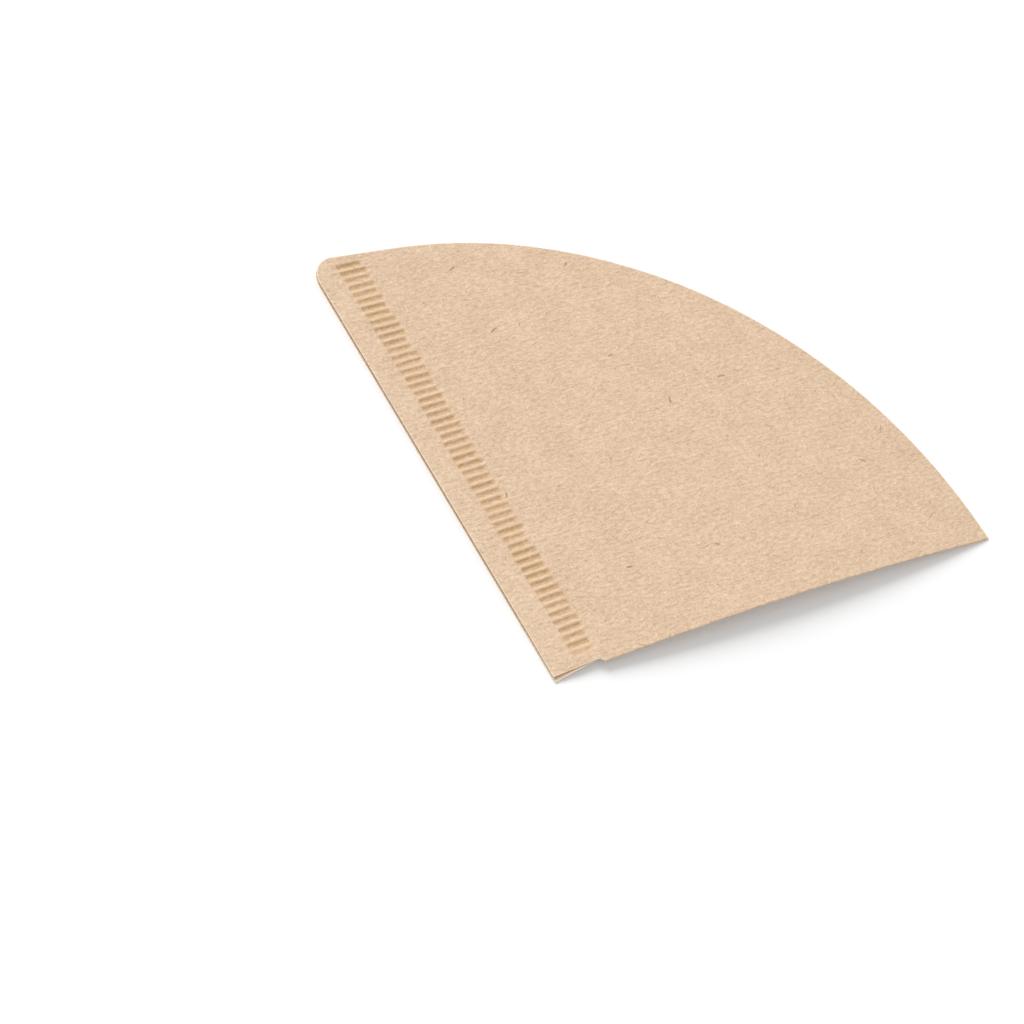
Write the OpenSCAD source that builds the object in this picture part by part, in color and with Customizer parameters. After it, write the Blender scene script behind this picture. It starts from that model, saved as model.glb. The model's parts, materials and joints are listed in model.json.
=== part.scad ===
// Cone filter of plain brown paper, folded flat.
// A half disc of paper is folded once across its middle, so that it lies as a quarter disc of
// two plies. Its two straight edges are crimped together in a strip of pressed grooves, with a
// free margin of both plies outside the strip. The arc is the open mouth of the cone.
// The sheet is worked out flat, with the tip of the cone at [0, 0], the fold along +X and the
// seam along +Y. Then it is bowed a little, as dry paper is, and laid on the table.

/* [Cone] */
// Slant length of the cone, from its tip to its mouth
slant = 118; // [90:1:150]
// Last degrees of the mouth's arc before the seam, over which the cut runs straight
straight_deg = 5; // [2:1:10]

/* [Paper] */
// Thickness of one ply
paper_t = 0.2; // [0.12:0.02:0.3]
// Gap between the plies in the middle of the mouth
mouth_gap = 0.3; // [0.1:0.05:0.6]

/* [Crimp] */
// Width of the crimped strip, across the seam
crimp_w = 6.4; // [4:0.2:9]
// Distance from the fold to the middle of the first groove
crimp_start = 3.95; // [3:0.05:7]
// Spacing of the grooves along the seam
groove_pitch = 2.11; // [1.7:0.01:3]
// Width of a groove at its top
groove_w = 1.25; // [1:0.05:1.6]
// Width of the slope on each side of a groove
groove_slope = 0.45; // [0.15:0.05:0.45]
// Length of the slope at each end of a groove
end_slope = 0.35; // [0.2:0.05:1.2]
// Depth to which a groove is pressed down
groove_depth = 0.36; // [0.2:0.02:0.8]

/* [Margin] */
// Width of the free margin at the mouth
margin_w = 6.7; // [6:0.1:10]
// How much wider the free margin is at the tip
margin_taper = 0.4; // [0:0.1:2]
// Radius of the margin's rounded corner at the mouth
corner_r = 6.5; // [2:0.5:6.5]
// How far each ply of the margin stands off at its free edge
splay = 0.35; // [0.1:0.05:0.8]
// How far the upper ply is cut back from the fold line at the tip
tip_cut = 0.6; // [0.2:0.1:1]
// How much further the lower ply reaches there, at its free corner
tip_step = 1.1; // [0.5:0.1:2]
// Depth of the nick beside the tip, where the fold ends
nick = 1; // [0.8:0.1:2]
// Width of the nick
nick_w = 0.8; // [0.4:0.1:1.5]

/* [Bow] */
// Rise of the bowed sheet at the fold
bow_fold = 4.1; // [1:0.1:8]
// Rise of the bowed sheet at the mouth end of the seam
bow_mouth = 0.25; // [0.1:0.05:3]

/* [Hidden] */

// Steps of the surfaces: round the mouth, from tip to mouth, round the fold, and in the margin
mouth_steps = 24;
slant_steps = 15;
fold_steps = 4;
margin_steps = 14;
corner_steps = 6;
margin_cols = 2;

// Outline of the flat sheet

// Direction of the last point of the mouth's true arc, past which the cut is straight
arc_end = 90 - straight_deg;
function mouth_radius(angle) = angle <= arc_end ? slant : slant / cos(angle - arc_end);
function mouth_y(x) = (slant - x * cos(arc_end)) / sin(arc_end);

function unit(v) = v / norm(v);
function lerp(a, b, share) = a + (b - a) * share;

seam_foot = [-crimp_w - margin_w - margin_taper, 0];
seam_head = [-crimp_w - margin_w, mouth_y(-crimp_w - margin_w)];

// Rounded corner between the margin's free edge and the mouth, as an arc between two tangents
down_seam = unit(seam_foot - seam_head);
along_mouth = [sin(arc_end), -cos(arc_end)];
corner_angle = acos(down_seam * along_mouth);
corner_tangent = corner_r / tan(corner_angle / 2);
corner_centre = seam_head + unit(down_seam + along_mouth) * corner_r / sin(corner_angle / 2);
corner_first = seam_head + down_seam * corner_tangent - corner_centre;
function corner_point(share) =
    let (turn = -share * (180 - corner_angle))
    corner_centre + [corner_first.x * cos(turn) - corner_first.y * sin(turn),
                     corner_first.x * sin(turn) + corner_first.y * cos(turn)];

// Height of the sheet's middle above the table

function seam_x(y) = lerp(seam_foot.x, seam_head.x, y / seam_head.y);
function bowed(x, y) =
    let (u = (x - seam_x(y)) / (slant - seam_x(y)))
    lerp(bow_fold, bow_mouth, y / slant) * 4 * u * (1 - u) - splay * u;
// A point of the sheet, given flat and by its height off the sheet's middle
function paper(flat, off) = [flat.x, flat.y, bowed(flat.x, flat.y) + off];

// Crimped strip: rows across the seam at each edge of a groove, and four columns along it

// Edges of a groove, as distances from its middle, each with the share of its depth there
groove_edges = [[-groove_w / 2, 0], [-groove_w / 2 + groove_slope, 1],
                [groove_w / 2 - groove_slope, 1], [groove_w / 2, 0]];
// Only whole grooves, up to the mouth
groove_count = floor((mouth_y(0) - crimp_start) / groove_pitch + 0.5);
groove_rows = [
    for (i = [0 : groove_count - 1], edge = groove_edges)
        [crimp_start + i * groove_pitch, 0] + edge
];
strip_x = [0, -end_slope, end_slope - crimp_w, -crimp_w];
strip_foot = [[0, 0], [-nick_w, nick], [strip_x[2], tip_cut], [strip_x[3], tip_cut]];
function strip_head(col) = [strip_x[col], mouth_y(strip_x[col])];
strip_press = [0, groove_depth, groove_depth, 0];

function strip_line(col, side) = concat(
    [paper(strip_foot[col], side * paper_t)],
    [for (row = groove_rows)
        paper([strip_x[col], row[0]], side * paper_t - strip_press[col] * row[1])],
    [paper(strip_head(col), side * paper_t)]
);

// Quarter disc: lines from the tip to the mouth, the first beside the seam and the last at the fold

function ray_angle(i) = 90 * (1 - i / mouth_steps);
function ray_flat(i, k) =
    mouth_radius(ray_angle(i)) * k / slant_steps * [cos(ray_angle(i)), sin(ray_angle(i))];
// Half of the gap between the plies, which the seam, the fold and the tip close
function half_gap(i, k) = mouth_gap / 2 * sin(2 * ray_angle(i)) * (k - 1) / (slant_steps - 1);
function outer_ray(i, side) =
    [for (k = [1 : slant_steps]) paper(ray_flat(i, k), side * (paper_t + half_gap(i, k)))];
function inner_ray(i, side) =
    [for (k = [2 : slant_steps]) paper(ray_flat(i, k), side * half_gap(i, k))];
function closed_ray(i) = [for (k = [1 : slant_steps]) paper(ray_flat(i, k), 0)];
pocket_end = [for (i = [1 : mouth_steps - 1]) paper(ray_flat(i, 1), 0)];

// Round of the fold, from the upper ply to the lower
function fold_line(turn) = [
    for (k = [0 : slant_steps])
        paper([slant * k / slant_steps, -paper_t * sin(turn)], paper_t * cos(turn))
];

// Margin: rows from the strip to the free edge, and round the corner to the mouth

margin_rows = margin_steps + corner_steps;
function edge_flat(row) = row <= margin_steps
    ? lerp([seam_foot.x, tip_cut], corner_centre + corner_first, row / margin_steps)
    : corner_point((row - margin_steps) / corner_steps);
function root_flat(row) = [-crimp_w, row <= margin_steps
    ? edge_flat(row).y
    : lerp(edge_flat(margin_steps).y, mouth_y(-crimp_w), (row - margin_steps) / corner_steps)];
// A ply stands off less where the corner narrows the margin
function edge_splay(row) = splay * min(1, (-crimp_w - edge_flat(row).x) / margin_w);
function margin_line(col, side, off) =
    let (share = col / margin_cols)
    [for (row = [0 : margin_rows])
        let (reach = row == 0 && side < 0 ? tip_step * share : 0)
        paper(lerp(root_flat(row), edge_flat(row), share) - [0, reach],
              side * (off + edge_splay(row) * share))];

// Ends of the strip: points halfway through it, in the tip's cut and in the mouth's
tip_middle = [for (col = [0 : 2]) paper(strip_foot[col], 0)];
mouth_middle = [for (col = [1 : 2]) paper(strip_head(col), 0)];

// Lines of points, each numbered by its place in the list of them all

sides = [1, -1];
strip_lines = [for (side = sides, col = [0 : 3]) strip_line(col, side)];
outer_lines = [for (side = sides, i = [1 : mouth_steps]) outer_ray(i, side)];
inner_lines = [for (side = sides, i = [1 : mouth_steps - 1]) inner_ray(i, side)];
fold_lines = [for (i = [1 : fold_steps - 1]) fold_line(180 * i / fold_steps)];
margin_lines = [for (side = sides, col = [1 : margin_cols]) margin_line(col, side, paper_t)];
lining_lines = [for (side = sides, col = [1 : margin_cols]) margin_line(col, side, 0)];
single_lines = [closed_ray(0), closed_ray(mouth_steps), pocket_end, margin_line(0, 1, 0),
                tip_middle, mouth_middle];
all_lines = concat(strip_lines, outer_lines, inner_lines, fold_lines, margin_lines, lining_lines,
                   single_lines);

function running(sizes, i = 0, total = 0) =
    i == len(sizes) ? [] : concat([total], running(sizes, i + 1, total + sizes[i]));
first_point = running([for (line = all_lines) len(line)]);
function ids(line) = [for (k = [0 : len(all_lines[line]) - 1]) first_point[line] + k];
function last(list) = list[len(list) - 1];
function join(lists) = [for (list = lists, item = list) item];

outer_from = len(strip_lines);
inner_from = outer_from + len(outer_lines);
fold_from = inner_from + len(inner_lines);
margin_from = fold_from + len(fold_lines);
lining_from = margin_from + len(margin_lines);
single_from = lining_from + len(lining_lines);

seam_crease = ids(single_from);
fold_crease = ids(single_from + 1);
pocket_ids = ids(single_from + 2);
root_crease = ids(single_from + 3);
tip_ids = concat(ids(single_from + 4), [root_crease[0]]);
head_ids = concat([last(seam_crease)], ids(single_from + 5), [last(root_crease)]);

// Numbers of the points of each line, where s is 0 for the upper ply and 1 for the lower
function strip_ids(s, col) = ids(s * 4 + col);
function outer_ids(s, i) = ids(outer_from + s * mouth_steps + i - 1);
function inner_ids(s, i) =
    i == 0 ? seam_crease :
    i == mouth_steps ? fold_crease :
    concat([pocket_ids[i - 1]], ids(inner_from + s * (mouth_steps - 1) + i - 1));
function fold_ids(i) =
    i == 0 || i == fold_steps
        ? let (s = i / fold_steps) concat([strip_ids(s, 0)[0]], outer_ids(s, mouth_steps))
        : ids(fold_from + i - 1);
function margin_ids(s, col) =
    col == 0 ? strip_ids(s, 3) : ids(margin_from + s * margin_cols + col - 1);
function lining_ids(s, col) =
    col == 0 ? root_crease : ids(lining_from + s * margin_cols + col - 1);

// Triangles

// Between two lines of points, where a has at least as many points as b
function stitch(a, b) =
    let (step = (len(b) - 1) / (len(a) - 1))
    concat(
        [for (i = [0 : len(a) - 2]) [a[i], a[i + 1], b[floor((i + 0.5) * step + 0.5)]]],
        [for (j = [0 : 1 : len(b) - 2]) [b[j + 1], b[j], a[ceil((j + 0.5) / step - 0.5)]]]
    );
// Turned over for the lower ply
function turned(s, faces) = s == 0 ? faces : [for (f = faces) [f[0], f[2], f[1]]];

function quarter_faces(s) = join([
    stitch(strip_ids(s, 0), outer_ids(s, 1)),
    join([for (i = [1 : mouth_steps - 1]) concat(
        stitch(outer_ids(s, i), outer_ids(s, i + 1)),
        stitch([outer_ids(s, i)[0], outer_ids(s, i + 1)[0]], [strip_ids(s, 0)[0]]))]),
    turned(1, stitch(inner_ids(s, 0), inner_ids(s, 1))),
    join([for (i = [2 : mouth_steps]) stitch(inner_ids(s, i), inner_ids(s, i - 1))]),
    stitch([for (i = [mouth_steps : -1 : 0]) last(i == 0 ? strip_ids(s, 0) : outer_ids(s, i))],
           [for (i = [mouth_steps : -1 : 0]) last(inner_ids(s, i))])
]);
function strip_faces(s) = join([
    join([for (col = [0 : 2]) stitch(strip_ids(s, col + 1), strip_ids(s, col))]),
    stitch([for (col = [3 : -1 : 0]) strip_ids(s, col)[0]], [for (i = [3 : -1 : 0]) tip_ids[i]]),
    stitch([for (col = [0 : 3]) last(strip_ids(s, col))], head_ids)
]);
// Free edge of the margin, from the tip's cut up the seam and round the corner to the strip
function rim(lines) = join([
    [for (col = [0 : margin_cols - 1]) lines[col][0]],
    lines[margin_cols],
    [for (col = [margin_cols - 1 : -1 : 0]) last(lines[col])]
]);
function margin_faces(s) =
    let (outer = [for (col = [0 : margin_cols]) margin_ids(s, col)],
         lining = [for (col = [0 : margin_cols]) lining_ids(s, col)])
    join([
        turned(1, join([for (col = [1 : margin_cols]) stitch(outer[col - 1], outer[col])])),
        join([for (col = [1 : margin_cols]) stitch(lining[col - 1], lining[col])]),
        turned(1, stitch(rim(outer), rim(lining)))
    ]);
fold_faces = join([
    join([for (i = [1 : fold_steps]) stitch(fold_ids(i - 1), fold_ids(i))]),
    stitch([for (i = [0 : fold_steps]) fold_ids(i)[0]], [tip_ids[0]]),
    stitch([for (i = [fold_steps : -1 : 0]) last(fold_ids(i))], [last(fold_crease)])
]);

// The sheet's own box is centred over the origin, with its lowest points on the table
raw_points = join(all_lines);
low = [for (axis = [0 : 2]) min([for (p = raw_points) p[axis]])];
high = [for (axis = [0 : 2]) max([for (p = raw_points) p[axis]])];
rest = [(low.x + high.x) / 2, (low.y + high.y) / 2, low.z];

module paper_filter() {
    color([0.89, 0.78, 0.67]) polyhedron(
        [for (p = raw_points) p - rest],
        concat(fold_faces, join([for (s = [0, 1])
            turned(s, concat(quarter_faces(s), strip_faces(s), margin_faces(s)))]))
    );
}

paper_filter();
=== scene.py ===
import json
from math import acos, ceil, cos, pi, radians, sin, tan

import bpy
from mathutils import Matrix, Vector


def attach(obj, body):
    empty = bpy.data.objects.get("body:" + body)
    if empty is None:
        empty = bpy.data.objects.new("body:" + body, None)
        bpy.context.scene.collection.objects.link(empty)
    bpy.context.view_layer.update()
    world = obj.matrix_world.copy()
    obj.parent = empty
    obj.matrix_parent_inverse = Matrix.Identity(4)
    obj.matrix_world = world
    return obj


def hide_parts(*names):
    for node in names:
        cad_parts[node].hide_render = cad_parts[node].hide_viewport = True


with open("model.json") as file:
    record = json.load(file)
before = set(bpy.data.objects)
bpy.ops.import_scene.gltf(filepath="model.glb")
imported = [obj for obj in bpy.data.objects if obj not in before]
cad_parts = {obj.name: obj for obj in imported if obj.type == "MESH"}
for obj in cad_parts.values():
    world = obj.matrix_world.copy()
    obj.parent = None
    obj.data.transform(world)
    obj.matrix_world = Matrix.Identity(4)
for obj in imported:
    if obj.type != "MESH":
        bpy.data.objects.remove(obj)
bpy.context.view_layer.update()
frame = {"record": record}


# Folded paper sheet
# One die-cut sheet of unbleached filter paper, folded once into a quarter disc of two plies.
# Its straight edges are crimped to each other with pressed grooves, and stand free outside them.

MM = 0.001

SHEET = {
    # Outline of the sheet, seen from the cone's tip
    "Slant": 118 * MM,
    "Arc end": radians(85),
    "Margin tip": 7.1 * MM,
    "Margin mouth": 6.7 * MM,
    "Corner radius": 6.5 * MM,
    "Tip cut": 0.6 * MM,
    "Tip step": 1.1 * MM,
    "Nick": 1.0 * MM,
    "Nick width": 0.8 * MM,
    # Grooves of the crimp
    "Crimp width": 6.4 * MM,
    "Crimp start": 3.95 * MM,
    "Groove pitch": 2.11 * MM,
    "Groove width": 1.7 * MM,
    "Groove slope": 0.6 * MM,
    "Groove depth": 0.34 * MM,
    "Shallowest": 0.75,
    "Deepest": 1.1,
    "First depth": 0.5,
    # A groove's ends: how far they reach past the strip at the tip, how much further at the
    # mouth, how much less by chance, and how long their slopes are
    "Right end": 0.25 * MM,
    "Right growth": 0.87 * MM,
    "Right chance": 0.9 * MM,
    "Right slope": 0.636 * MM,
    "Left end": 0.2 * MM,
    "Left growth": 0.42 * MM,
    "Left chance": 0.35 * MM,
    "Left slope": 0.35 * MM,
    # Brown mark in a groove, partly the pressed paper's own browner tone and partly painted shade:
    # a little wider than it, and nearer the mouth
    "Mark shift": 0.06 * MM,
    "Mark spread": 0.1 * MM,
    "Mark slope": 0.5 * MM,
    # Heights of the two plies
    "Paper": 0.2 * MM,
    "Ply offset": 0.11 * MM,
    "Mouth gap": 0.3 * MM,
    "Splay": 0.35 * MM,
    "Splay at tip": 0.5,
    "Splay length": 20 * MM,
    "Bow fold": 4.1 * MM,
    "Bow mouth": 0.25 * MM,
    "Rest height": 0.56 * MM,
    "Cockle": 0.24 * MM,
    "Cockle floor": 0.3,
    "Cockle scale": 38.0,
    # Flat stretches of the grid beside the strip and the fold. From the tip on, the first
    # grows, the second starts, and both fade sooner and sooner into the quarter disc.
    "Flat": 0.4 * MM,
    "Flat growth": 0.5 * MM,
    "Growth length": 10 * MM,
    "Start length": 5.9 * MM,
    "Fade length": 6 * MM,
    "Fade power": 3.0,
    "Seed": 3.0,
}

# Columns of faces across one ply, from the fold to the margin's free edge
FOLD_COLS = 3
FLAT_COLS = 1
RAY_COLS = 28
STRIP_COLS = 14
MARGIN_COLS = 5
PLY_COLS = FOLD_COLS + FLAT_COLS + RAY_COLS + STRIP_COLS + MARGIN_COLS

# Rows of faces: to each groove, before the first one, and those that bend to the tip's cut and
# to the mouth's
ROWS_PER_GROOVE = 8
LEAD_ROWS = 16
FOOT_ROWS = 13
TAIL_ROWS = 6

# The cone's tip, on the table
TIP = Vector(frame["record"]["mounts"][0]["pos_m"])


class Num:
    """A number or vector in a node tree. Arithmetic on it adds the nodes that work it out."""

    def __init__(self, tree, socket):
        self.tree = tree
        self.socket = socket

    def node(self, kind, sockets, **settings):
        """Adds a node of any kind: its settings first, then the values or links of its sockets."""
        made = self.tree.nodes.new(kind)
        for name, value in settings.items():
            setattr(made, name, value)
        for key, value in sockets.items():
            if isinstance(value, Num):
                self.tree.links.new(value.socket, made.inputs[key])
            else:
                made.inputs[key].default_value = value
        return made

    def out(self, kind, sockets, output=0, **settings):
        """One output of a new node."""
        return Num(self.tree, self.node(kind, sockets, **settings).outputs[output])

    def math(self, operation, *values):
        sockets = dict(enumerate((self,) + values))
        return self.out("ShaderNodeMath", sockets, operation=operation)

    def flipped(self, operation, value):
        return self.out("ShaderNodeMath", {0: value, 1: self}, operation=operation)

    def __add__(self, other):
        return self.math("ADD", other)

    def __radd__(self, other):
        return self.math("ADD", other)

    def __sub__(self, other):
        return self.math("SUBTRACT", other)

    def __rsub__(self, other):
        return self.flipped("SUBTRACT", other)

    def __mul__(self, other):
        return self.math("MULTIPLY", other)

    def __rmul__(self, other):
        return self.math("MULTIPLY", other)

    def __truediv__(self, other):
        return self.math("DIVIDE", other)

    def __rtruediv__(self, other):
        return self.flipped("DIVIDE", other)

    def __neg__(self):
        return self.math("MULTIPLY", -1.0)

    def __abs__(self):
        return self.math("ABSOLUTE")

    def sin(self):
        return self.math("SINE")

    def cos(self):
        return self.math("COSINE")

    def low(self, other):
        return self.math("MINIMUM", other)

    def high(self, other):
        return self.math("MAXIMUM", other)

    def held(self):
        """Held between 0 and 1."""
        return self.high(0.0).low(1.0)

    def soft(self):
        """Eased from 0 to 1, so that a slope has no hard edge."""
        share = self.held()
        return share * share * (3.0 - 2.0 * share)

    def positive(self):
        """1 above 0, and 0 from 0 down."""
        return self.math("SIGN").held()

    def xyz(self, x, y, z=0.0):
        return self.out("ShaderNodeCombineXYZ", {0: x, 1: y, 2: z})

    def part(self, axis):
        return self.out("ShaderNodeSeparateXYZ", {0: self}, output=axis)

    def mix(self, a, b):
        """Colour a where this is 0 and b where it is 1."""
        return self.out("ShaderNodeMix", {0: self, 6: a, 7: b}, output=2, data_type="RGBA")


def between(a, b, share):
    """From a at share 0 to b at share 1."""
    return a + (b - a) * share


def rounded_corner(sizes):
    """The margin's corner at the mouth, and the centre, first point and turn of its rounding."""
    arc_end = sizes["Arc end"]
    head_x = -sizes["Crimp width"] - sizes["Margin mouth"]
    head = Vector((head_x, (sizes["Slant"] - head_x * cos(arc_end)) / sin(arc_end)))
    foot = Vector((-sizes["Crimp width"] - sizes["Margin tip"], 0))
    down_seam = (foot - head).normalized()
    along_mouth = Vector((sin(arc_end), -cos(arc_end)))
    angle = acos(down_seam.dot(along_mouth))
    to_centre = sizes["Corner radius"] / sin(angle / 2)
    centre = head + (down_seam + along_mouth).normalized() * to_centre
    first = head + down_seam * sizes["Corner radius"] / tan(angle / 2)
    return head, centre, first, pi - angle


def sheet_tree(sizes, paper):
    """Lays a grid out as the folded sheet: rows from tip to mouth, columns across the plies."""
    tree = bpy.data.node_groups.new("folded_sheet", "GeometryNodeTree")
    for name, value in sizes.items():
        socket = tree.interface.new_socket(name, in_out="INPUT", socket_type="NodeSocketFloat")
        socket.default_value = value
    tree.interface.new_socket("Sheet", in_out="OUTPUT", socket_type="NodeSocketGeometry")
    entry = tree.nodes.new("NodeGroupInput")
    given = {name: Num(tree, entry.outputs[name]) for name in sizes}
    seed = given["Seed"]
    slant = given["Slant"]
    arc_end = given["Arc end"]
    crimp_w = given["Crimp width"]
    crimp_start = given["Crimp start"]
    pitch = given["Groove pitch"]

    # Grid of flat faces, one unit each, with the fold down its middle
    seam_length = sizes["Slant"] / sin(sizes["Arc end"])
    pitches = (seam_length - sizes["Crimp start"]) / sizes["Groove pitch"]
    last_row = LEAD_ROWS + ceil(pitches * ROWS_PER_GROOVE)
    grid = seed.node("GeometryNodeMeshGrid", {
        "Size X": 2.0 * PLY_COLS, "Size Y": float(last_row),
        "Vertices X": 2 * PLY_COLS + 1, "Vertices Y": last_row + 1})
    place = seed.out("GeometryNodeInputPosition", {})
    col = place.part(0)
    row = place.part(1) + last_row / 2
    away = abs(col)
    side = -col.math("SIGN")

    def across(first, count):
        """From 0 to 1 over so many columns, counted from the fold."""
        return ((away - first) / count).held()

    first_ray = FOLD_COLS + FLAT_COLS
    first_strip = first_ray + RAY_COLS
    round_fold = (1.0 - across(0, FOLD_COLS)) * (pi / 2)
    beside_fold = across(FOLD_COLS, FLAT_COLS)
    ray_share = across(first_ray, RAY_COLS)
    ray = ray_share * (pi / 2)
    even_strip = across(first_strip, STRIP_COLS)
    # The strip's columns crowd to its sides, where the grooves end
    crowding = 0.6
    in_strip = between(even_strip, even_strip.soft(), crowding)
    even_margin = across(first_strip + STRIP_COLS, MARGIN_COLS)
    in_margin = even_margin * (2.0 - even_margin)

    # Distance along the seam, with the tip's cut at its foot and the mouth's cut at its head
    step = pitch / ROWS_PER_GROOVE
    first_y = crimp_start - LEAD_ROWS * step
    last_y = crimp_start + (last_row - LEAD_ROWS) * step
    even_y = crimp_start + (row - LEAD_ROWS) * step
    beside_strip = given["Flat"] + (even_y / given["Growth length"]).held() * given["Flat growth"]
    strip_x = beside_strip - in_strip * (crimp_w + given["Flat"] + beside_strip)
    lead = (1.0 - row / FOOT_ROWS).high(0.0)
    tail = ((row - (last_row - TAIL_ROWS)) / TAIL_ROWS).high(0.0)
    lower = (-side).held()
    seam_foot_x = -(crimp_w + given["Margin tip"])
    foot_x = strip_x + (seam_foot_x + crimp_w + given["Flat"]) * in_margin
    foot_slope = ((foot_x + given["Nick width"]) / (seam_foot_x + given["Nick width"])).held()
    cut_back = between(given["Nick"], given["Tip cut"], foot_slope)
    step_up = given["Tip step"] * lower * foot_slope
    foot = (foot_x / -given["Nick width"]).held() * (cut_back - step_up)
    mouth_y = (slant - strip_x * arc_end.cos()) / arc_end.sin()
    seam_y = even_y + (foot - first_y) * lead + (mouth_y - last_y) * tail
    up_seam = seam_y / slant

    # Quarter disc, whose rays reach past the true arc for its last degrees
    mouth_r = slant / (ray - arc_end).high(0.0).cos()
    ray_r = seam_y / (slant / arc_end.sin()) * mouth_r
    sharp = 1000.0
    on_ray = 1.0 - (in_strip * sharp).held()
    ray_x = ray_r * ray.cos() * on_ray
    ray_y = ray_r * ray.sin()

    # Free edge of the margin, straight up the seam and then round the corner
    head, centre, first, whole_turn = rounded_corner(sizes)
    start_turn = (first - centre).angle_signed(Vector((1, 0)))
    seam_x = -(crimp_w + between(given["Margin tip"], given["Margin mouth"], seam_y / head.y))
    past = (seam_y - first.y) / (mouth_y - first.y)
    turn = start_turn - past.held() * whole_turn
    in_corner = (past * sharp).held()
    corner_x = centre.x + given["Corner radius"] * turn.cos()
    corner_y = centre.y + given["Corner radius"] * turn.sin()
    edge_x = between(seam_x, corner_x, in_corner)
    edge_y = between(seam_y, corner_y, in_corner)

    # Flat place, in which the two flat stretches soon give way to the true quarter disc
    fading = 1.0 + (seam_y / given["Fade length"]).held() * given["Fade power"]
    beside_ray = beside_strip * ray_share.math("POWER", fading)
    from_fold = beside_fold * (1.0 - ray_share).math("POWER", fading)
    above_fold = given["Flat"] * from_fold * (seam_y / given["Start length"]).held()
    margin_x = (edge_x + crimp_w + given["Flat"]) * in_margin
    margin_y = (edge_y - seam_y) * in_margin
    flat_x = ray_x + between(strip_x, beside_ray, on_ray) + margin_x
    flat_y = between(seam_y, ray_y, on_ray) + margin_y + above_fold

    # Grooves of the crimp, each with a depth and length of its own, and only whole ones
    number = ((seam_y - crimp_start) / pitch).math("ROUND")

    def chance(shift):
        """From 0 to 1, the same all over a groove."""
        return number.out("ShaderNodeTexWhiteNoise", {"W": number + seed * 100 + shift},
                          noise_dimensions="1D")

    right_chance = chance(11) * given["Right chance"]
    left_chance = chance(23) * given["Left chance"]
    right_end = given["Right end"] + up_seam * given["Right growth"] - right_chance
    left_end = given["Left end"] + up_seam * given["Left growth"] - left_chance
    from_right = (right_end.low(beside_strip) - strip_x) / given["Right slope"]
    from_left = (left_end.low(given["Flat"]) + strip_x + crimp_w) / given["Left slope"]
    ends = from_right.low(from_left).soft()
    past_first = (number + 0.5).positive()
    before_mouth = (slant / arc_end.sin() - crimp_start - (number + 0.5) * pitch).positive()
    depth = between(given["Shallowest"], given["Deepest"], chance(0)) \
        * between(given["First depth"], 1.0, number.held())
    each = ends * past_first * before_mouth * depth
    from_groove = (seam_y - crimp_start).math("PINGPONG", pitch / 2)
    groove = ((given["Groove width"] / 2 - from_groove) / given["Groove slope"]).soft() * each
    # The mark's colour is partly the pressed paper's own browner tone and partly painted shade in
    # the groove
    from_mark = (seam_y - crimp_start - given["Mark shift"]).math("PINGPONG", pitch / 2)
    mark_side = given["Groove width"] / 2 + given["Mark spread"]
    mark = ((mark_side - from_mark) / given["Mark slope"]).soft() * each

    # Height: the bow of dry paper, the plies' own offsets, the grooves and a slight cockle
    u = (flat_x - seam_x) / (slant - seam_x)
    arch = 4.0 * u * (1.0 - u)
    bow = between(given["Bow fold"], given["Bow mouth"], flat_y / slant) * arch
    waves = place.out("ShaderNodeTexNoise", {
        "Vector": place.xyz(flat_x, flat_y, seed * 0.1), "Scale": given["Cockle scale"],
        "Detail": 2.0, "Roughness": 0.5})
    cockle = (waves - given["Cockle floor"]).high(0.0) * given["Cockle"] * arch.held()
    gap = (given["Mouth gap"] / 2 * (ray * 2.0).sin() * up_seam).high(0.0)
    reach = ((-edge_x - crimp_w) / given["Margin mouth"]).held() * in_margin
    opening = between(given["Splay at tip"], 1.0, (seam_y / given["Splay length"]).held())
    splay = given["Splay"] * reach * opening
    ply = given["Ply offset"] * round_fold.cos() + gap + splay
    height = bow - given["Splay"] * u + side * ply - groove * given["Groove depth"] + cockle
    fold_y = -given["Ply offset"] * round_fold.sin()

    # The mesh keeps its brown marks, which also carry painted shade, its cut edges, which also
    # carry a painted highlight, and its place on the unfolded sheet
    def stored(geometry, name, value, data_type, domain):
        sockets = {"Geometry": geometry, "Name": name, "Value": value}
        return seed.out("GeometryNodeStoreNamedAttribute", sockets,
                        data_type=data_type, domain=domain)

    at_free_edge = even_margin.math("COMPARE", 1.0, 0.001)
    at_tip = row.math("COMPARE", 0.0, 0.5)
    at_mouth = row.math("COMPARE", float(last_row), 0.5)
    cut = at_free_edge.high(at_tip).high(at_mouth)
    unfolded = place.xyz(flat_x, side * (flat_y + fold_y))
    folded = place.xyz(flat_x + TIP.x, flat_y + fold_y + TIP.y, height + given["Rest height"])
    # This mask carries the grooves' brown tone and their painted shade
    made = stored(Num(tree, grid.outputs["Mesh"]), "pressed", mark, "FLOAT", "POINT")
    made = stored(made, "cut", cut, "FLOAT", "POINT")
    made = stored(made, "sheet", unfolded, "FLOAT2", "CORNER")
    made = seed.out("GeometryNodeSetPosition", {"Geometry": made, "Position": folded})
    made = seed.out("GeometryNodeMergeByDistance", {"Geometry": made, "Distance": 0.001 * MM})
    made = seed.out("GeometryNodeSetShadeSmooth", {"Geometry": made, "Shade Smooth": True})
    made = seed.out("GeometryNodeRealizeInstances", {"Geometry": made})
    made = seed.out("GeometryNodeSetMaterial", {"Geometry": made, "Material": paper})
    seed.node("NodeGroupOutput", {"Sheet": made})
    return tree


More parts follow.
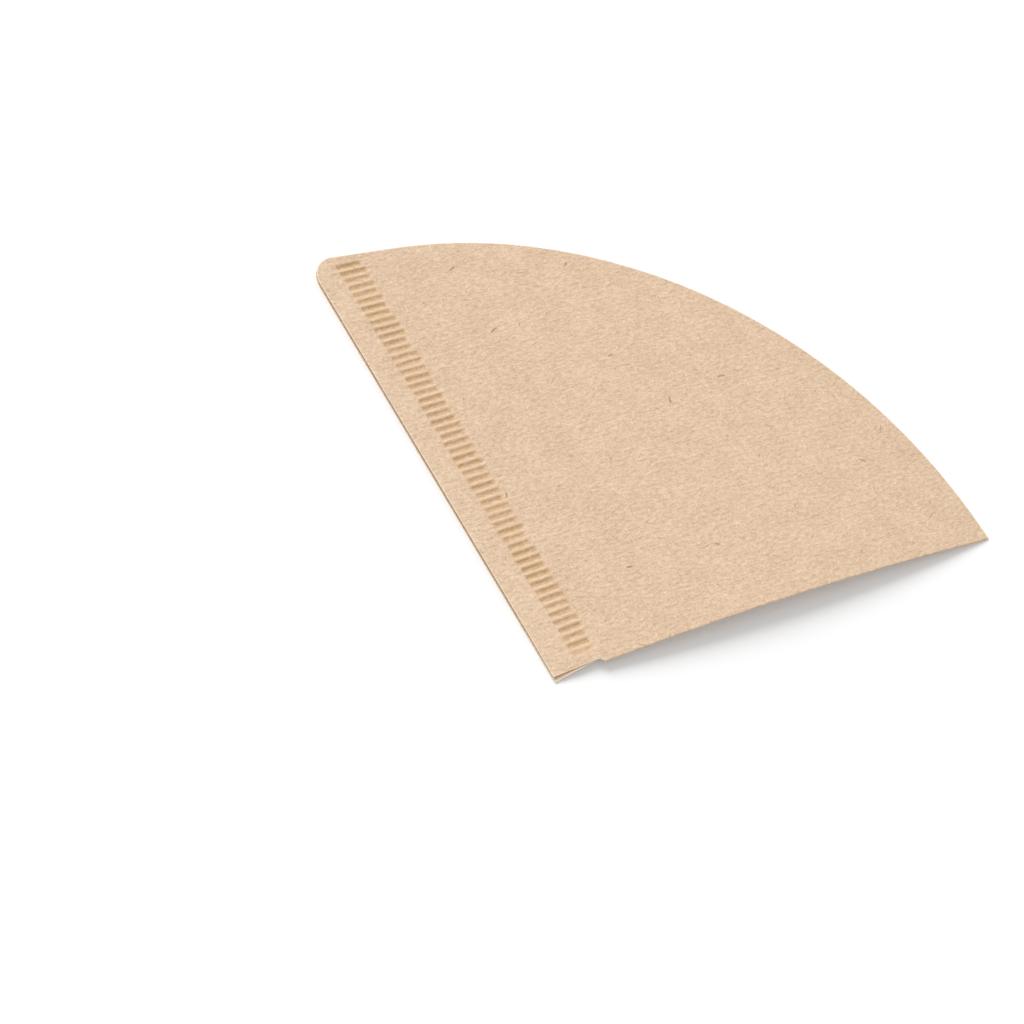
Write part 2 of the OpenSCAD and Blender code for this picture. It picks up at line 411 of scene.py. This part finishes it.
def made_piece(name, tree, sizes, thickness):
    """Runs the tree on an empty object, gives the sheet its thickness and keeps a plain mesh."""
    holder = bpy.data.objects.new(name + "_tree", bpy.data.meshes.new(name + "_tree"))
    bpy.context.scene.collection.objects.link(holder)
    modifier = holder.modifiers.new("sheet", "NODES")
    modifier.node_group = tree
    for item in tree.interface.items_tree:
        if item.in_out == "INPUT":
            modifier[item.identifier] = sizes[item.name]
    solid = holder.modifiers.new("thickness", "SOLIDIFY")
    solid.thickness = thickness
    solid.offset = 0
    evaluated = holder.evaluated_get(bpy.context.evaluated_depsgraph_get())
    mesh = bpy.data.meshes.new_from_object(evaluated)
    mesh.set_sharp_from_angle(angle=radians(75))
    bpy.data.objects.remove(holder)
    piece = bpy.data.objects.new(name, mesh)
    bpy.context.scene.collection.objects.link(piece)
    return piece


# Colours of the paper
DARK_PULP = (0.62, 0.43, 0.282, 1)
LIGHT_PULP = (0.897, 0.680, 0.492, 1)
BROWN_FIBRE = (0.5, 0.33, 0.2, 1)
PALE_FIBRE = (0.95, 0.78, 0.6, 1)
DARK_FIBRE = (0.33, 0.2, 0.11, 1)
BARK = (0.3, 0.17, 0.09, 1)
RIDGE_PULP = (0.92, 0.64, 0.42, 1)
PRESSED_PULP = (0.8, 0.51, 0.29, 1)
# Painted shade in the grooves, mixed with the pressed paper's own browner tone
GROOVE_BROWN_AND_SHADE = (0.6, 0.4, 0.22, 1)
# Pale cut edge: partly the raw edge's own tone, partly a painted highlight
CUT_EDGE_TONE_AND_HIGHLIGHT = (0.98, 0.85, 0.67, 1)


def paper_material():
    """Unbleached filter paper: mottled pulp, fine crepe, stray fibres, browner and with painted
    shade in the crimp's grooves, and a painted highlight on cut edges.
    """
    made = bpy.data.materials.new("unbleached_paper")
    made.use_nodes = True
    tree = made.node_tree
    shader = tree.nodes["Principled BSDF"]
    start = Num(tree, None)
    place = start.out("ShaderNodeUVMap", {}, uv_map="sheet")
    pressed = start.out("ShaderNodeAttribute", {}, output=2, attribute_name="pressed")
    cut = start.out("ShaderNodeAttribute", {}, output=2, attribute_name="cut")

    # Millimetres on the unfolded sheet, from the cone's tip
    x = place.part(0) / MM
    y = place.part(1) / MM

    def noise(wide, high, shift, detail=2.0, roughness=0.5, drift=0.0):
        """Noise from -0.5 to 0.5, whose spots are so many millimetres wide and high."""
        spot = start.xyz(x / wide + shift, (y + drift) / high - shift)
        cloud = start.out("ShaderNodeTexNoise", {
            "Vector": spot, "Scale": 1.0, "Detail": detail, "Roughness": roughness},
            noise_dimensions="2D")
        return cloud - 0.5

    def fibres(cell, length, width, share, seed):
        """Curved fibres, at most one to a cell, lying mostly along the machine direction."""
        spot = {"Vector": start.xyz(x + seed, y - seed), "Scale": 1.0 / cell, "Randomness": 0.7}
        centre = start.out("ShaderNodeTexVoronoi", spot, output=2, voronoi_dimensions="2D")
        chance = start.out("ShaderNodeTexVoronoi", spot, output=1, voronoi_dimensions="2D")
        dx = x + seed - centre.part(0)
        dy = y - seed - centre.part(1)
        widest_turn = 2.6
        angle = (chance.part(0) - 0.5) * widest_turn
        u = dx * angle.cos() + dy * angle.sin()
        bend = u * u * (chance.part(1) - 0.5) / length
        v = dy * angle.cos() - dx * angle.sin() + bend
        half = length * (0.3 + chance.part(1) * 0.2)
        body = (1.0 - abs(v) / width).held()
        taper = ((half - abs(u)) / (0.2 * length)).held()
        return (share - chance.part(2)).positive() * body * taper

    wander = noise(wide=4.0, high=4.0, shift=3.1)
    ridges = noise(wide=1.7, high=0.66, shift=0.0, detail=1.0, drift=wander * 1.2)
    crepe_pitch = 1.5
    crepe = ((y + wander * 2.5 + ridges * 0.9) * (2 * pi / crepe_pitch)).sin()
    weft = noise(wide=0.55, high=1.2, shift=7.7, detail=1.0)
    grain = noise(wide=0.42, high=0.42, shift=12.9, detail=1.0)
    flocs = noise(wide=1.9, high=1.5, shift=33.3)
    clouds = noise(wide=9.0, high=7.0, shift=21.3, detail=3.0, roughness=0.55)
    blots = noise(wide=1.3, high=0.7, shift=51.7)
    brown_fibres = fibres(cell=1.5, length=1.3, width=0.11, share=0.8, seed=5.0)
    pale_fibres = fibres(cell=1.9, length=1.5, width=0.1, share=0.7, seed=31.0)
    dark_fibres = fibres(cell=13.0, length=4.2, width=0.16, share=0.25, seed=17.0)
    specks = fibres(cell=13.0, length=1.5, width=0.26, share=0.7, seed=43.0)
    bark = fibres(cell=27.0, length=3.0, width=0.34, share=0.7, seed=71.0)

    # Painted light: the free margin is a little lighter. The strip is browner as far as its
    # grooves reach
    strip_left = -SHEET["Crimp width"] / MM
    margin = ((strip_left - x) / 0.8).held()
    down = abs(y)
    left_growth = SHEET["Left growth"] / SHEET["Slant"]
    right_growth = SHEET["Right growth"] / SHEET["Slant"]
    inside_left = ((x - strip_left + 0.25 + down * left_growth) / 0.6).held()
    inside_right = ((0.1 + down * right_growth - x) / 1.3).held()
    past_tip = ((down - 2.6) / 0.6).held()
    before_mouth = ((117.2 - down) / 0.6).held()
    strip = inside_left * inside_right * past_tip * before_mouth
    # Painted shade in the grooves, over the pressed paper's own browner tone
    groove_tone_and_shade = (pressed * (0.76 + grain * 1.6 + blots * 2.4)).held()

    # How far each pattern lightens the pulp, and then the colours laid over it in turn
    # The margin's share of the tone is painted light
    tone = 0.5 + ridges * 0.7 + crepe * 0.035 + weft * 0.6 + grain * 0.75 \
        + flocs * 0.5 + clouds * 0.45 + margin * 0.095
    colour = tone.held().mix(DARK_PULP, LIGHT_PULP)
    for share, over in (
            (brown_fibres * 0.3, BROWN_FIBRE),
            (pale_fibres * 0.4, PALE_FIBRE),
            (strip * (1.0 - pressed) * 0.38, RIDGE_PULP),
            (strip * pressed * 0.4, PRESSED_PULP),
            # Painted shade and brown tone in the grooves
            (groove_tone_and_shade, GROOVE_BROWN_AND_SHADE),
            (dark_fibres * 0.75, DARK_FIBRE),
            (specks * 0.55, BARK),
            (bark * 0.85, BARK),
            # Painted highlight on the cut edges, over their own paler tone
            (cut * 0.8, CUT_EDGE_TONE_AND_HIGHLIGHT)):
        colour = share.mix(colour, over)

    # Relief in millimetres, which the crimp presses to half
    relief = ridges * 0.13 + crepe * 0.008 + weft * 0.1 + grain * 0.04 \
        + brown_fibres * 0.008 + pale_fibres * 0.01 + dark_fibres * 0.02
    height = relief * (1.0 - pressed * 0.5) * MM
    bump = start.out("ShaderNodeBump", {"Height": height, "Distance": 1.0})
    roughness = 0.92 - pressed * 0.17
    tree.links.new(colour.socket, shader.inputs["Base Color"])
    tree.links.new(bump.socket, shader.inputs["Normal"])
    tree.links.new(roughness.socket, shader.inputs["Roughness"])
    shader.inputs["Specular IOR Level"].default_value = 0.25
    return made


sheet = made_piece("filter_sheet", sheet_tree(SHEET, paper_material()), SHEET, SHEET["Paper"])
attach(sheet, "root")
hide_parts("paper_filter")


# Table
# A broad matt white table top, which carries the filter and takes its shadow.
# It glows a little for the camera alone, so that it shows as plain white.

TABLE_HALF = 2.0
TABLE_WHITE = (0.9, 0.9, 0.9, 1)
TABLE_GLOW = (0.11, 0.11, 0.11, 1)
NO_GLOW = (0, 0, 0, 1)


def seen(tree):
    """1 for what the camera sees, also in a gloss or through glass, and 0 for other light."""
    ray = Num(tree, None).node("ShaderNodeLightPath", {})
    straight = Num(tree, ray.outputs["Is Camera Ray"])
    glossy = Num(tree, ray.outputs["Is Glossy Ray"])
    through = Num(tree, ray.outputs["Is Transmission Ray"])
    return straight.high(glossy).high(through)


table = bpy.data.objects.new("table", bpy.data.meshes.new("table"))
table.data.from_pydata(
    [(x * TABLE_HALF, y * TABLE_HALF, 0) for x, y in ((-1, -1), (1, -1), (1, 1), (-1, 1))],
    [], [(0, 1, 2, 3)])
bpy.context.scene.collection.objects.link(table)
white = bpy.data.materials.new("white_table")
white.use_nodes = True
white_shader = white.node_tree.nodes["Principled BSDF"]
white_shader.inputs["Base Color"].default_value = TABLE_WHITE
white_shader.inputs["Roughness"].default_value = 0.9
white_shader.inputs["Emission Strength"].default_value = 1.0
glow = seen(white.node_tree).mix(NO_GLOW, TABLE_GLOW)
white.node_tree.links.new(glow.socket, white_shader.inputs["Emission Color"])
table.data.materials.append(white)


# Light
# Soft daylight from all round, and one broad lamp low over the far side, across the grooves.
# The daylight is 1 for the camera, which sees white, and lower on the object.

DAYLIGHT = 0.6

world = bpy.data.worlds.new("studio")
world.use_nodes = True
daylight = world.node_tree.nodes["Background"]
daylight.inputs["Color"].default_value = (1, 1, 1, 1)
level = seen(world.node_tree) * (1.0 - DAYLIGHT) + DAYLIGHT
world.node_tree.links.new(level.socket, daylight.inputs["Strength"])
bpy.context.scene.world = world

key = bpy.data.lights.new("key", "SUN")
key.energy = 2.0
key.angle = radians(40)
key_object = bpy.data.objects.new("key", key)
key_object.rotation_euler = (radians(-50), 0, radians(10))
bpy.context.scene.collection.objects.link(key_object)


# Camera
# The photograph's own view: from the seam's side, about 49 degrees above the table.
# It was fitted to the outline of the filter, and stands about 0.8 m from the cone's tip.

PHOTO_SIZE = 1024
FOCAL_PIXELS = 3500
CAMERA_FROM_TIP = Vector((-435.235, -247.979, 597.354)) * MM
RIGHT = Vector((0.80268, -0.482341, 0.350788))
FORWARD = Vector((0.548379, 0.365631, -0.75206))

camera = bpy.data.cameras.new("camera")
camera.sensor_width = 36
camera.lens = camera.sensor_width * FOCAL_PIXELS / PHOTO_SIZE
camera.clip_start = 0.05
camera_object = bpy.data.objects.new("camera", camera)
tip_in_air = Vector((TIP.x, TIP.y, SHEET["Rest height"]))
turned = Matrix((RIGHT, RIGHT.cross(FORWARD), -FORWARD)).transposed().to_4x4()
camera_object.matrix_world = Matrix.Translation(tip_in_air + CAMERA_FROM_TIP) @ turned
bpy.context.scene.collection.objects.link(camera_object)
bpy.context.scene.camera = camera_object

bpy.context.scene.view_settings.view_transform = "Standard"
